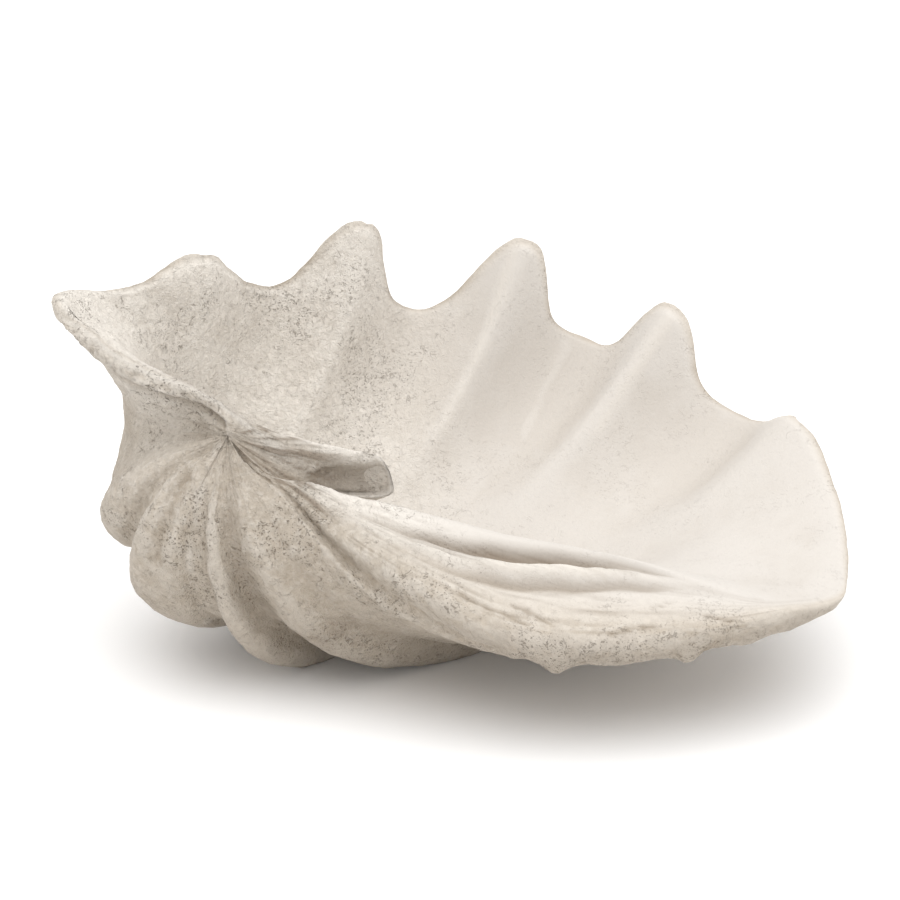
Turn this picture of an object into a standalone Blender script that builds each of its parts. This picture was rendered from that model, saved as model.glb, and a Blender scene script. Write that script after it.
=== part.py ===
import math
import bpy
import numpy as np

# Clam shell, one valve lying on its rounded belly with the hinge side to the front.
# Stations and lengths are in millimetres, measured from the umbo (the beak of the hinge):
# +X to the long end, +Y to the scalloped rim, +Z up.
MM = 0.001

# Resting height: the floor lies this far under the umbo.
FLOOR_DROP = 146.0

# Fineness of the grid: columns along the scalloped rim, rows from the umbo to the rim,
# rows across the rim band.
COLUMNS = 72
ROWS = 23
BAND_ROWS = 11

# Stations round the rim: name, outer edge, middle crest, inner crest.
# A plain wall rim has None for both crests.
STATIONS = (
    ("left_end", (-97, 50, 61), None, None),
    ("left_scallop", (-63, 92, 55), None, None),
    ("tooth_1", (-22, 131, 47), None, None),
    ("valley_1", (24, 168, 25), None, None),
    ("tooth_2", (60, 190, 16), None, None),
    ("valley_2", (107, 203, 2), None, None),
    ("tooth_3", (150, 207, -5), None, None),
    ("valley_3", (207, 204, -15), None, None),
    ("tooth_4", (234, 190, -27), None, None),
    ("valley_4", (290, 163, -42), None, None),
    ("tooth_5", (318, 130, -48), None, None),
    ("valley_5", (340, 75, -59), None, None),
    ("right_end", (343, 8, -76), None, None),
    ("corner", (332, -42, -83), (336, -40, -78), (332, -34, -76)),
    ("lip_1", (298, -76, -84), (301, -76, -77), (294, -62, -71)),
    ("lip_2", (253, -92, -89), (256, -95, -80), (253, -60, -60)),
    ("lip_3", (212, -96, -96), (215, -104, -77), (224, -50, -54)),
    ("lip_4", (174, -93, -98), (179, -104, -74), (189, -48, -46)),
    ("lip_5", (142, -87, -90), (146, -94, -69), (151, -43, -40)),
    ("lip_6", (114, -75, -76), (113, -79, -57), (119, -33, -35)),
    ("lip_7", (84, -60, -61), (77, -57, -43), (94, -26, -31)),
    ("lip_8", (58, -42, -45), (55, -38, -34), (67, -18, -27)),
    ("lip_9", (35, -25, -26), (34, -20, -21), (46, -9, -24)),
    ("crevice", (0, 0, 0), (20, -8, -18), (40, -3, -27)),
    ("tongue_tip", (0, 0, 1), (36, 4, -26), (90, 23, -40)),
    ("tongue_top", (0, 0, 2), (36, 8, -16), (83, 16, -18)),
    ("hinge_1", (0, 1, 4), (28, 8, -8), (58, 16, -12)),
    ("hinge_2", (-2, 3, 8), (10, 8, 5), (20, 14, -1)),
    ("hinge_3", (-12, 9, 17), (-12, 13, 20), (-14, 22, 16)),
    ("hinge_4", (-39, 16, 25), (-42, 22, 31), (-45, 34, 31)),
    ("hinge_5", (-74, 32, 42), (-76, 36, 49), (-73, 46, 46)),
)
NAMES = tuple(station[0] for station in STATIONS)
PERIOD = len(STATIONS)

# How far along each hinge-side edge its stations come, from the umbo (0) to its end (1).
LIP_PLACES = (
    ("corner", 1.0), ("lip_1", 0.92), ("lip_2", 0.83), ("lip_3", 0.735), ("lip_4", 0.64), ("lip_5", 0.545),
    ("lip_6", 0.44), ("lip_7", 0.33), ("lip_8", 0.23), ("lip_9", 0.13), ("crevice", 0.0),
)
HINGE_PLACES = (
    ("crevice", 0.0), ("tongue_tip", 0.045), ("tongue_top", 0.075), ("hinge_1", 0.12), ("hinge_2", 0.18),
    ("hinge_3", 0.27), ("hinge_4", 0.45), ("hinge_5", 0.74),
)

# Growth axis: the direction along the hinge that the shell coils about.
AXIS = (0.88, -0.45, -0.16)

# The beak turns no further than this about the axis (radians).
TURN_LIMIT = 2.6
TURN_SOFTNESS = 0.2

# Growth by station: coil rate at the rim, coil rate at the beak, sideways spread,
# sideways shift (mm) and the share of the coil that the rib follows.
GROWTH = (
    ("left_end", (0.30, 1.4, 1.5, 20, 0.25)),
    ("tooth_1", (0.27, 1.4, 2.1, 34, 0.80)),
    ("tooth_2", (0.45, 1.4, 1.9, 40, 1.0)),
    ("tooth_3", (0.545, 1.4, 1.0, 20, 1.0)),
    ("tooth_4", (0.67, 1.4, 1.15, 0, 1.0)),
    ("tooth_5", (0.80, 1.4, 1.5, 0, 1.0)),
    ("right_end", (0.80, 1.4, 1.2, 0, 0.95)),
    ("corner", (0.80, 1.4, 1.0, 0, 0.75)),
)

# Ribs: the grooves between them lie at these stations, the arch heights in between.
GROOVES = ("left_end", "tooth_1", "tooth_2", "tooth_3", "tooth_4", "tooth_5", "corner")
ARCH = (
    ("left_end", 3), ("left_scallop", 8), ("valley_1", 22), ("valley_2", 26), ("valley_3", 27),
    ("valley_4", 26), ("valley_5", 10), ("right_end", 6), ("corner", 4),
)

# On the young shell, up to these scales, the ribs are lopsided: where each crest lies across its rib,
# and how far the grooves drift along the rim (in stations).
YOUNG_SHELL = (0.55, 0.95)
YOUNG_START = (-0.05, 0.28)
CREST_PLACES = (0.3, 0.42, 0.24, 0.34, 0.42, 0.5)
CREST_SHARPNESS = 1.2
YOUNG_HEIGHTS = (1.0, 1.0, 1.0, 1.0, 0.75, 0.25)
GROOVE_DRIFT = (
    ("left_end", 0.0), ("tooth_1", -0.30), ("tooth_2", -0.25), ("tooth_3", 0.52), ("tooth_4", 0.10),
    ("corner", 0.0),
)

# How full the arches are at the rim, and how round the crests of the flutes inside.
RIM_FULLNESS = 0.75
FLUTE_ROUNDING = (("left_end", 0.3), ("tooth_3", 0.15), ("tooth_4", 0.15), ("tooth_5", 0.9), ("corner", 0.9))

# The flutes inside fade out between these scales.
FLUTE_FADE = (0.68, 1.02)

# The ribs stand out more on the young shell near the umbo.
YOUNG_RELIEF = 1.0

# Scallop teeth: station, height, width of the left and right flank (in stations).
TEETH = (
    ("tooth_1", 13, 0.42, 0.36),
    ("tooth_2", 46, 0.50, 0.36),
    ("tooth_3", 54, 0.50, 0.34),
    ("tooth_4", 45, 0.46, 0.40),
    ("tooth_5", 8, 0.60, 0.60),
)
TOOTH_SHARPNESS = 2.0

# Wall thickness at the plain rim, at the belly.
RIM_WALL = 9.0
BELLY_WALL = 12.0

# Ridges and grooves along the hinge plate: for each station the place across the plate
# (0 at the lip crest, 1 at the inner crest) and the height or depth.
LATERAL_TOOTH = (
    ("corner", 0.90, 0), ("lip_2", 0.86, 0.5), ("lip_3", 0.80, 3), ("lip_4", 0.64, 4), ("lip_5", 0.50, 4),
    ("lip_6", 0.38, 3), ("lip_7", 0.30, 1.5), ("lip_8", 0.30, 0),
)
DEEP_GROOVE = (
    ("corner", 0.95, 0), ("lip_2", 0.92, 1), ("lip_3", 0.90, 3), ("lip_4", 0.78, 6), ("lip_5", 0.69, 6),
    ("lip_6", 0.60, 4), ("lip_7", 0.56, 1), ("lip_8", 0.56, 0),
)
LOWER_GROOVE = (
    ("corner", 0.85, 0), ("lip_2", 0.78, 1), ("lip_3", 0.68, 3), ("lip_4", 0.50, 3), ("lip_5", 0.34, 2.5),
    ("lip_6", 0.22, 1), ("lip_7", 0.20, 0), ("lip_8", 0.20, 0),
)
PLATE_LINES = ((LATERAL_TOOTH, 1, 0.11), (DEEP_GROOVE, -1, 0.11), (LOWER_GROOVE, -1, 0.12))

# The share of the band's rows that lies outside the lip's crest.
PLATE_START_ROW = 0.32

# Hollow in the front of the tongue: foot and head (x, z) of the slanting edge where it starts,
# where it ends along x, its depth, and how far from the crevice it is that deep.
HOLLOW_EDGE = ((41, -27), (60, -14))
HOLLOW_END = (84, 96)
HOLLOW_DEPTH = 6.0
HOLLOW_REACH = 30.0

# The inner sheet follows the outer one down to this scale, and closes to the crevice from there.
INNER_START = 0.34

# The inner sheet is drawn to the rim's crest from this scale on.
RIM_REACH = 0.8

# Depth of the hollow under the tongue of the hinge.
UNDERCUT = 16.0

# How far the back of the tongue stands behind its front there.
TONGUE_BACK = 10.0

# Where the middle of the underside lies, measured from the umbo once the shell is made.
LAST_ORIGIN = [0.0, 0.0, 0.0]


def station_index(name):
    return NAMES.index(name)


def ease(x, low, high):
    t = np.clip((x - low) / (high - low), 0.0, 1.0)
    return t * t * (3.0 - 2.0 * t)


def blend(u, pairs):
    """Values given at named stations, read with smooth steps between them."""
    xs = np.array([station_index(name) for name, _ in pairs], float)
    ys = np.array([np.atleast_1d(value) for _, value in pairs], float)
    i = np.clip(np.searchsorted(xs, u, side="right") - 1, 0, len(xs) - 2)
    t = np.clip((u - xs[i]) / (xs[i + 1] - xs[i]), 0.0, 1.0)
    s = (t * t * (3.0 - 2.0 * t))[:, None]
    return ys[i] * (1.0 - s) + ys[i + 1] * s


def loop_curve(points, u):
    """Closed smooth curve through the station points."""
    count = len(points)
    i = np.floor(u + 1e-9).astype(int)
    t = np.clip(u - i, 0.0, 1.0)[:, None]

    def tangent(j):
        ahead = points[(j + 1) % count] - points[j % count]
        behind = points[j % count] - points[(j - 1) % count]
        a = np.linalg.norm(ahead, axis=-1, keepdims=True)
        b = np.linalg.norm(behind, axis=-1, keepdims=True)
        return (ahead * b / a + behind * a / b) / (a + b)

    start = points[i % count]
    end = points[(i + 1) % count]
    length = np.linalg.norm(end - start, axis=-1, keepdims=True)
    m0 = tangent(i) * length
    m1 = tangent(i + 1) * length
    t2 = t * t
    t3 = t2 * t
    return (2 * t3 - 3 * t2 + 1) * start + (t3 - 2 * t2 + t) * m0 + (3 * t2 - 2 * t3) * end + (t3 - t2) * m1


def rim_points():
    """Outer edge, middle crest and inner crest of every station in metres."""
    outer = np.array([station[1] for station in STATIONS], float) * MM
    middle = outer.copy()
    inner = outer.copy()
    plate = np.zeros(PERIOD)
    for i, station in enumerate(STATIONS):
        if station[2] is not None:
            middle[i] = np.array(station[2], float) * MM
            inner[i] = np.array(station[3], float) * MM
            plate[i] = 1.0
    return outer, middle, inner, plate


def column_places(count, outer):
    """Columns spread along the scalloped rim, closer together at the teeth."""
    last = station_index("corner")
    dense = np.linspace(0, last, 3000)
    curve = loop_curve(outer, dense)
    step = np.linalg.norm(np.diff(curve, axis=0), axis=1)
    middle = (dense[1:] + dense[:-1]) / 2
    weight = step / step.mean() + 0.3 + 0.9 * tooth_reach(middle) / 50.0
    total = np.concatenate([[0.0], np.cumsum(weight)])
    return np.interp(np.linspace(0, 1, count + 1), total / total[-1], dense)


def tooth_reach(u):
    reach = np.zeros_like(u)
    for name, height, left, right in TEETH:
        offset = u - station_index(name)
        width = np.where(offset < 0, left, right)
        reach = reach + height * np.exp(-np.abs(offset / width) ** TOOTH_SHARPNESS)
    return reach


def arch_phase(u):
    """Rib number and place across the rib (0 to 1) of each u."""
    places = np.array([station_index(name) for name in GROOVES], float)
    rib = np.clip(np.searchsorted(places, u, side="right") - 1, 0, len(places) - 2)
    return rib, np.clip((u - places[rib]) / (places[rib + 1] - places[rib]), 0.0, 1.0)


def flute_wave(phase, rounding):
    """Arch between two flutes with rounded crests, 0 at both."""
    wave = np.sqrt(np.sin(math.pi * phase) ** 2 + rounding ** 2) - rounding
    return wave / (np.sqrt(1 + rounding ** 2) - rounding)


def rib_wave(u, scale):
    """Height of the ribs over the grid: lopsided with soft grooves on the young shell, arched at the rim."""
    young = (1 - ease(scale, *YOUNG_SHELL))[:, None]
    rib, phase = arch_phase(u[None, :] - blend(u, GROOVE_DRIFT)[None, :, 0] * young)
    crest = np.array(CREST_PLACES)[rib]
    lopsided = np.where(phase < crest, ease(phase / crest, 0.0, 1.0), 1 - ease(phase, crest, 1.0))
    lopsided = lopsided ** CREST_SHARPNESS * np.array(YOUNG_HEIGHTS)[rib]
    return lopsided * young + np.sin(math.pi * phase) ** RIM_FULLNESS * (1 - young)


def growth_sheet(u, scale, outer):
    """Coiled sheet from the umbo (scale 0) to the rim (scale 1) and beyond."""
    axis = np.array(AXIS) / np.linalg.norm(AXIS)
    edge = loop_curve(outer, u)
    law = blend(u, GROWTH)
    along = edge @ axis
    across = edge - along[:, None] * axis
    side = np.cross(axis, across)
    turn = np.linspace(0.0, 5.0, 240)
    sheet = np.empty((len(scale), len(u), 3))
    for j in range(len(u)):
        rim_rate, beak_rate, spread, shift, share = law[j]
        rate = rim_rate + (beak_rate - rim_rate) * ease(turn, 1.3, 2.7)
        shrink = np.concatenate([[0.0], np.cumsum((rate[1:] + rate[:-1]) / 2 * np.diff(turn))])
        inside = np.clip(scale, 1e-4, 1.0)
        angle = np.interp(-np.log(inside), shrink, turn) * share
        angle = angle - TURN_SOFTNESS * np.log1p(np.exp((angle - TURN_LIMIT) / TURN_SOFTNESS))
        angle = np.where(scale > 1, -np.log(np.maximum(scale, 1e-4)) / rim_rate * share, angle)
        distance = scale * along[j] * (1 + (spread - 1) * (1 - inside))
        distance = distance - shift * MM * scale * (1 - inside)
        swing = across[j] * np.cos(angle)[:, None] - side[j] * np.sin(angle)[:, None]
        sheet[:, j] = distance[:, None] * axis + scale[:, None] * swing
    return sheet


def sheet_normals(sheet):
    down = np.gradient(sheet, axis=0)
    across = np.gradient(sheet, axis=1)
    normal = np.cross(down, across)
    return normal / np.maximum(np.linalg.norm(normal, axis=2, keepdims=True), 1e-12)


def lookup(table, scale, places):
    """Columns of a table read at each column's own scales."""
    result = np.empty(places.shape + (3,))
    for j in range(places.shape[1]):
        for k in range(3):
            result[:, j, k] = np.interp(places[:, j], scale, table[:, j, k])
    return result


def edge_stations(scale, places, past):
    """Station numbers of the points along a hinge-side edge."""
    names = [station_index(name) for name, _ in places]
    if past:
        names.append(PERIOD)
    along = [place for _, place in places]
    if past:
        along.append(1.0)
    order = np.argsort(along)
    return np.interp(scale, np.array(along)[order], np.array(names, float)[order])


def soften(sheet, scale, u, reach_scale, reach_u):
    """Sheet with its middle smoothed out and its edges kept."""
    rows = np.exp(-((scale[:, None] - scale[None, :]) / reach_scale) ** 2)
    rows = rows * np.gradient(scale)[None, :]
    rows = rows / rows.sum(1, keepdims=True)
    columns = np.exp(-((u[:, None] - u[None, :]) / reach_u) ** 2)
    columns = columns * np.gradient(u)[None, :]
    columns = columns / columns.sum(1, keepdims=True)
    soft = np.einsum("ab,bcd->acd", rows, sheet)
    soft = np.einsum("ab,cbd->cad", columns, soft)
    keep_u = ease(u, u[0], u[0] + 2.2 * reach_u) * ease(-u, -u[-1], -u[-1] + 2.2 * reach_u)
    keep_s = ease(scale, 0.0, 0.1) * (1 - ease(scale, 0.55, 0.8))
    share = keep_s[:, None, None] * keep_u[None, :, None]
    return sheet * (1 - share) + soft * share


def rib_sheet(u, scale, outer):
    """Coiled sheet with both hinge-side edges drawn to the stations, its normals and its ribs."""
    base = growth_sheet(u, scale, outer)
    inside = np.minimum(scale, 1.0)
    lip = loop_curve(outer, edge_stations(inside, LIP_PLACES, False))
    hinge = loop_curve(outer, edge_stations(inside, HINGE_PLACES, True))
    lip_pull = lip - base[np.minimum(np.arange(len(scale)), np.searchsorted(scale, 1.0)), -1]
    hinge_pull = hinge - base[np.minimum(np.arange(len(scale)), np.searchsorted(scale, 1.0)), 0]
    near_lip = ease(u, station_index("tooth_5") - 0.9, station_index("corner")) ** 1.5
    near_hinge = 1 - ease(u, station_index("left_end"), station_index("tooth_1"))
    base = base + lip_pull[:, None, :] * near_lip[None, :, None]
    base = base + hinge_pull[:, None, :] * near_hinge[None, :, None]
    return base, sheet_normals(base)


def loop_order(columns, rows):
    """Grid places (row, column) along the rim, down the lip, over the umbo and up the hinge."""
    order = [(rows - 1, j) for j in range(columns + 1)]
    order += [(i, columns) for i in range(rows - 2, -1, -1)]
    order.append(None)
    order += [(i, 0) for i in range(0, rows - 1)]
    return order


def shell_points(columns, row_count, band_rows):
    """Outer sheet, rim band and inner sheet of the shell."""
    outer, middle, inner, plate = rim_points()
    u = column_places(columns, outer)
    scale = np.concatenate([np.linspace(0, 1, 101)[1:] ** 1.5, [1.05, 1.1, 1.2, 1.3, 1.5, 1.8]])
    base, normal = rib_sheet(u, scale, outer)
    arch = blend(u, ARCH)[:, 0] * MM
    relief = np.minimum(scale, 1.1) * (1 + YOUNG_RELIEF * np.maximum(1 - scale, 0.0))
    relief = relief * ease(scale, *YOUNG_START)
    ribbed = base + normal * (arch[None, :] * rib_wave(u, scale) * relief[:, None])[:, :, None]
    rim_step = np.linalg.norm(ribbed[101] - ribbed[97], axis=1) / (scale[101] - scale[97])
    end = 1 + tooth_reach(u) * MM / rim_step
    rows = (np.arange(1, row_count + 1) / row_count) ** 1.6
    stretch = 1 + (end - 1)[None, :] * ease(rows, 0.0, 1.0)[:, None]
    outside = lookup(ribbed, scale, rows[:, None] * stretch)
    # wall laid inside, with flutes that fade to the floor
    flutes = np.minimum(scale, 1.1) * ease(scale, *FLUTE_FADE)
    crease = arch * flute_wave(arch_phase(u)[1], blend(u, FLUTE_ROUNDING)[:, 0])
    wall = BELLY_WALL + (RIM_WALL - BELLY_WALL) * ease(scale, 0.75, 1.0)
    lining = base + normal * (crease[None, :] * flutes[:, None] - wall[:, None] * MM)[:, :, None]
    inside = lookup(lining, scale, rows[:, None] * stretch)
    # crests of the loop
    order = loop_order(columns, row_count)
    stations = []
    for place in order:
        if place is None:
            stations.append(float(station_index("crevice")))
        elif place[0] == row_count - 1:
            stations.append(u[place[1]])
        elif place[1] == columns:
            stations.append(edge_stations(rows[place[0]], LIP_PLACES, False))
        else:
            stations.append(edge_stations(rows[place[0]], HINGE_PLACES, True))
    stations = np.array(stations)
    umbo = np.zeros(3)
    edge = np.array([umbo if place is None else outside[place] for place in order])
    plain = np.array([umbo if place is None else inside[place] for place in order])
    share = np.interp(stations, np.arange(PERIOD + 1), np.append(plate, plate[0]))
    share = (share * share * (3 - 2 * share))[:, None]
    crest = loop_curve(inner, stations) * share + plain * (1 - share)
    # band across the rim
    f = band_places(band_rows)
    stride = max(1, len(order) // 70)
    tangent = np.roll(edge + crest, -stride, 0) - np.roll(edge + crest, stride, 0)
    chord = crest - edge
    bulge = np.cross(tangent, chord)
    bulge = bulge / np.maximum(np.linalg.norm(bulge, axis=1, keepdims=True), 1e-9)
    plain_mid = (edge + crest) / 2 - bulge * np.linalg.norm(chord, axis=1, keepdims=True) * 0.5
    mid = loop_curve(middle, stations) * share + plain_mid * (1 - share)
    weight = 1.0 + 0.8 * share
    pull = (mid * (2 + 2 * weight) - edge - crest) / (2 * weight)
    ff = f[:, None, None]
    band = (1 - ff) ** 2 * edge + 2 * weight * ff * (1 - ff) * pull + ff ** 2 * crest
    band = band / ((1 - ff) ** 2 + 2 * weight * ff * (1 - ff) + ff ** 2)
    lift = np.zeros((band_rows, len(stations)))
    across = (f[:, None] - 0.5) * 2
    for line, sign, width in PLATE_LINES:
        place = blend(stations, tuple((name, where) for name, where, _ in line))[:, 0]
        height = blend(stations, tuple((name, high) for name, _, high in line))[:, 0]
        lift = lift + sign * height * np.exp(-((across - place) / width) ** 2)
    band = band + plate_up(mid, crest)[None] * lift[:, :, None] * MM
    band[:, :, 1] += tongue_hollow(band, stations, f)
    # inner sheet: closes to the crevice, its edges drawn to the crests
    pole = loop_curve(inner, np.array([float(station_index("crevice"))]))[0]
    closing = rows < INNER_START
    first = int(np.sum(closing))
    ring = inside[first]
    for i in range(first):
        q = rows[i] / rows[first]
        inside[i] = pole + (ring - pole) * q
    lip_crest = np.empty((row_count, 3))
    hinge_crest = np.empty((row_count, 3))
    rim_crest = crest[:columns + 1]
    for place, point in zip(order, crest):
        if place is None:
            continue
        if place[1] == columns:
            lip_crest[place[0]] = point
        if place[1] == 0:
            hinge_crest[place[0]] = point
    lip_pull = lip_crest - inside[:, -1]
    hinge_pull = hinge_crest - inside[:, 0]
    near_lip = ease(u, station_index("valley_4"), station_index("corner")) ** 1.5
    near_hinge = (1 - ease(u, station_index("left_end"), station_index("tooth_1"))) ** 1.5
    inside = inside + lip_pull[:, None, :] * near_lip[None, :, None]
    inside = inside + hinge_pull[:, None, :] * near_hinge[None, :, None]
    undercut = near_hinge * (1 - near_hinge) * 4
    shallow = ease(rows, -0.004, 0.012) * (1 - ease(rows, 0.12, 0.40))
    behind = shallow[:, None] * undercut[None, :] * MM
    inside[:, :, 1] += TONGUE_BACK * behind
    inside[:, :, 2] -= UNDERCUT * behind
    rim_pull = rim_crest - inside[-1]
    inside = inside + rim_pull[None] * ease(rows, RIM_REACH, 1.0)[:, None, None]
    inside = soften(inside, rows, u, 0.06, 0.5)
    return outside, band, inside, pole, order


def band_places(band_rows):
    """Places across the rim band (0 outside to 1 inside), closer together on the hinge plate."""
    even = np.linspace(0, 1, band_rows + 2)[1:-1]
    return np.interp(even, (0.0, PLATE_START_ROW, 1.0), (0.0, 0.5, 1.0))


def tongue_hollow(band, stations, f):
    """Depth of the hollow in the front of the tongue, past a slanting edge."""
    x = band[:, :, 0] / MM
    z = band[:, :, 2] / MM
    foot, head = HOLLOW_EDGE
    up = np.clip((z - foot[1]) / (head[1] - foot[1]), 0.0, 1.0)
    edge = foot[0] + (head[0] - foot[0]) * up
    tip = station_index("tongue_tip")
    crest = station_index("tongue_top")
    front = ease(stations, tip - 1.0, tip - 0.85) * (1 - ease(stations, tip + 0.45, crest - 0.1))
    depth = ease(x - edge, -1.5, 4.0) * (1 - ease(x, *HOLLOW_END)) * front[None, :]
    crevice = np.array(STATIONS[station_index("crevice")][3]) * MM
    depth = depth * ease(np.linalg.norm(band - crevice, axis=2) / MM, 0.0, HOLLOW_REACH)
    return depth * (1 - ease(f, 0.96, 1.0))[:, None] * HOLLOW_DEPTH * MM


def plate_up(mid, crest):
    """Direction that stands up from the hinge plate."""
    stride = max(1, len(mid) // 70)
    along = np.roll(mid, -stride, 0) - np.roll(mid, stride, 0)
    up = np.cross(along, crest - mid)
    return -up / np.maximum(np.linalg.norm(up, axis=1, keepdims=True), 1e-9)


def shell_mesh(name, columns, row_count, band_rows):
    outside, band, inside, pole, order = shell_points(columns, row_count, band_rows)
    floor = -FLOOR_DROP * MM
    outside[:, :, 2] = np.maximum(outside[:, :, 2], floor)
    wide = columns + 1
    loop = len(order)
    points = [np.zeros((1, 3)), outside.reshape(-1, 3), band.reshape(-1, 3), pole[None], inside.reshape(-1, 3)]
    band_start = 1 + row_count * wide
    pole_index = band_start + band_rows * loop
    faces = []

    def outer_at(place):
        return 0 if place is None else 1 + place[0] * wide + place[1]

    def inner_at(place):
        return pole_index if place is None else pole_index + 1 + place[0] * wide + place[1]

    for j in range(columns):
        faces.append((0, outer_at((0, j)), outer_at((0, j + 1))))
        faces.append((pole_index, inner_at((0, j + 1)), inner_at((0, j))))
        for i in range(row_count - 1):
            a, b, c, d = (i, j), (i + 1, j), (i + 1, j + 1), (i, j + 1)
            faces.append((outer_at(a), outer_at(b), outer_at(c), outer_at(d)))
            faces.append((inner_at(d), inner_at(c), inner_at(b), inner_at(a)))
    rings = [[outer_at(place) for place in order]]
    for r in range(band_rows):
        rings.append([band_start + r * loop + k for k in range(loop)])
    rings.append([inner_at(place) for place in order])
    for low, high in zip(rings[:-1], rings[1:]):
        for k in range(loop):
            n = (k + 1) % loop
            faces.append((low[k], high[k], high[n], low[n]))
    rows = np.concatenate(points)
    low = rows.min(0)
    high = rows.max(0)
    LAST_ORIGIN[:] = [(low[0] + high[0]) / 2, (low[1] + high[1]) / 2, low[2]]
    rows = rows - np.array(LAST_ORIGIN)
    mesh = bpy.data.meshes.new(name)
    mesh.from_pydata([tuple(p) for p in rows], [], faces)
    mesh.update()
    return mesh


def shell_material():
    material = bpy.data.materials.new("chalky_shell")
    material.use_nodes = True
    surface = material.node_tree.nodes["Principled BSDF"]
    surface.inputs["Base Color"].default_value = (0.72, 0.67, 0.60, 1.0)
    surface.inputs["Roughness"].default_value = 0.85
    return material


def clam_shell():
    mesh = shell_mesh("clam_shell", COLUMNS, ROWS, BAND_ROWS)
    shell = bpy.data.objects.new("clam_shell", mesh)
    bpy.context.collection.objects.link(shell)
    shell.data.materials.clear()
    shell.data.materials.append(shell_material())
    return shell


def main():
    for old in list(bpy.data.objects):
        bpy.data.objects.remove(old)
    clam_shell()


main()
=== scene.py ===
import math

import bpy
import numpy as np
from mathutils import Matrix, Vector, noise


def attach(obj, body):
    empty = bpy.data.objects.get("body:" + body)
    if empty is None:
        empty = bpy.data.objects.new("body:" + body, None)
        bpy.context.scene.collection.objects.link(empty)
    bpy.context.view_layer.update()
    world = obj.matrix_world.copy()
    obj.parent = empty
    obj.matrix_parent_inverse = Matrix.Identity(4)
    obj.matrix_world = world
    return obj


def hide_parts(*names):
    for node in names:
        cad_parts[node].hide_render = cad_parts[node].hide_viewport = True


# Looks of the clam shell. It is grown by the same rules as the solid, on a finer grid and from stations
# that lie a few millimetres closer to the photo, and then gets its worn, pitted surface.
# Stations and lengths are in millimetres, measured from the umbo (the beak of the hinge):
# +X to the long end, +Y to the scalloped rim, +Z up.
MM = 0.001

# Resting height: the floor lies this far under the umbo.
FLOOR_DROP = 146.0

# Fineness of the grid: columns along the scalloped rim, rows from the umbo to the rim,
# rows across the rim band.
COLUMNS = 250
ROWS = 142
BAND_ROWS = 40

# Rows lie closer together near the umbo, by this power.
ROW_POWER = 1.6

# Spread of the columns: samples, even share, and the share that a tooth of this height (mm) adds.
COLUMN_SAMPLES = 3000
COLUMN_EVEN = 0.3
TOOTH_CROWDING = 0.9
CROWDED_TOOTH = 50.0

# Stations round the rim: name, outer edge, middle crest, inner crest.
# A plain wall rim has None for both crests.
STATIONS = (
    ("left_end", (-97, 50, 57), None, None),
    ("left_scallop", (-63, 92, 53), None, None),
    ("tooth_1", (-22, 131, 47), None, None),
    ("valley_1", (24, 168, 25), None, None),
    ("tooth_2", (60, 190, 16), None, None),
    ("valley_2", (107, 203, 2), None, None),
    ("tooth_3", (147, 207, -5), None, None),
    ("valley_3", (207, 204, -15), None, None),
    ("tooth_4", (229, 190, -28), None, None),
    ("valley_4", (290, 163, -42), None, None),
    ("tooth_5", (318, 130, -48), None, None),
    ("valley_5", (337, 75, -59), None, None),
    ("right_end", (339, 8, -76), None, None),
    ("corner", (332, -42, -83), (336, -40, -78), (332, -34, -76)),
    ("lip_1", (298, -73, -86), (301, -77, -72), (294, -62, -71)),
    ("lip_2", (253, -88, -90), (256, -94, -74), (253, -60, -60)),
    ("lip_3", (212, -93, -94), (215, -103, -73), (224, -50, -54)),
    ("lip_4", (174, -91, -95), (179, -103, -72), (189, -48, -46)),
    ("lip_5", (142, -86, -88), (146, -94, -69), (151, -43, -40)),
    ("lip_6", (114, -75, -76), (113, -79, -57), (119, -33, -35)),
    ("lip_7", (84, -60, -61), (77, -57, -43), (94, -26, -31)),
    ("lip_8", (58, -42, -45), (55, -38, -34), (67, -18, -27)),
    ("lip_9", (35, -25, -26), (34, -20, -21), (46, -9, -24)),
    ("crevice", (0, 0, 0), (20, -8, -18), (40, -3, -27)),
    ("tongue_tip", (0, 0, 1), (36, 4, -26), (90, 23, -40)),
    ("tongue_top", (0, 0, 2), (36, 8, -16), (83, 16, -18)),
    ("hinge_1", (0, 1, 4), (28, 8, -8), (58, 16, -12)),
    ("hinge_2", (-2, 3, 8), (10, 8, 5), (20, 14, -1)),
    ("hinge_3", (-12, 8, 14), (-12, 13, 20), (-14, 22, 16)),
    ("hinge_4", (-39, 15, 21), (-42, 22, 31), (-45, 34, 31)),
    ("hinge_5", (-74, 31, 38), (-76, 36, 49), (-73, 46, 46)),
)
NAMES = tuple(station[0] for station in STATIONS)
PERIOD = len(STATIONS)

# How far along each hinge-side edge its stations come, from the umbo (0) to its end (1).
LIP_PLACES = (
    ("corner", 1.0), ("lip_1", 0.92), ("lip_2", 0.83), ("lip_3", 0.735), ("lip_4", 0.64), ("lip_5", 0.545),
    ("lip_6", 0.44), ("lip_7", 0.33), ("lip_8", 0.23), ("lip_9", 0.13), ("crevice", 0.0),
)
HINGE_PLACES = (
    ("crevice", 0.0), ("tongue_tip", 0.045), ("tongue_top", 0.075), ("hinge_1", 0.12), ("hinge_2", 0.18),
    ("hinge_3", 0.27), ("hinge_4", 0.45), ("hinge_5", 0.74),
)

# Growth axis: the direction along the hinge that the shell coils about.
AXIS = (0.88, -0.45, -0.16)

# The beak turns no further than this about the axis (radians).
TURN_LIMIT = 2.6
TURN_SOFTNESS = 0.2

# The coil: how far it is followed (radians), in how many steps, and where its rate changes.
COIL_END = 5.0
COIL_STEPS = 240
COIL_CHANGE = (1.3, 2.7)

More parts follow.
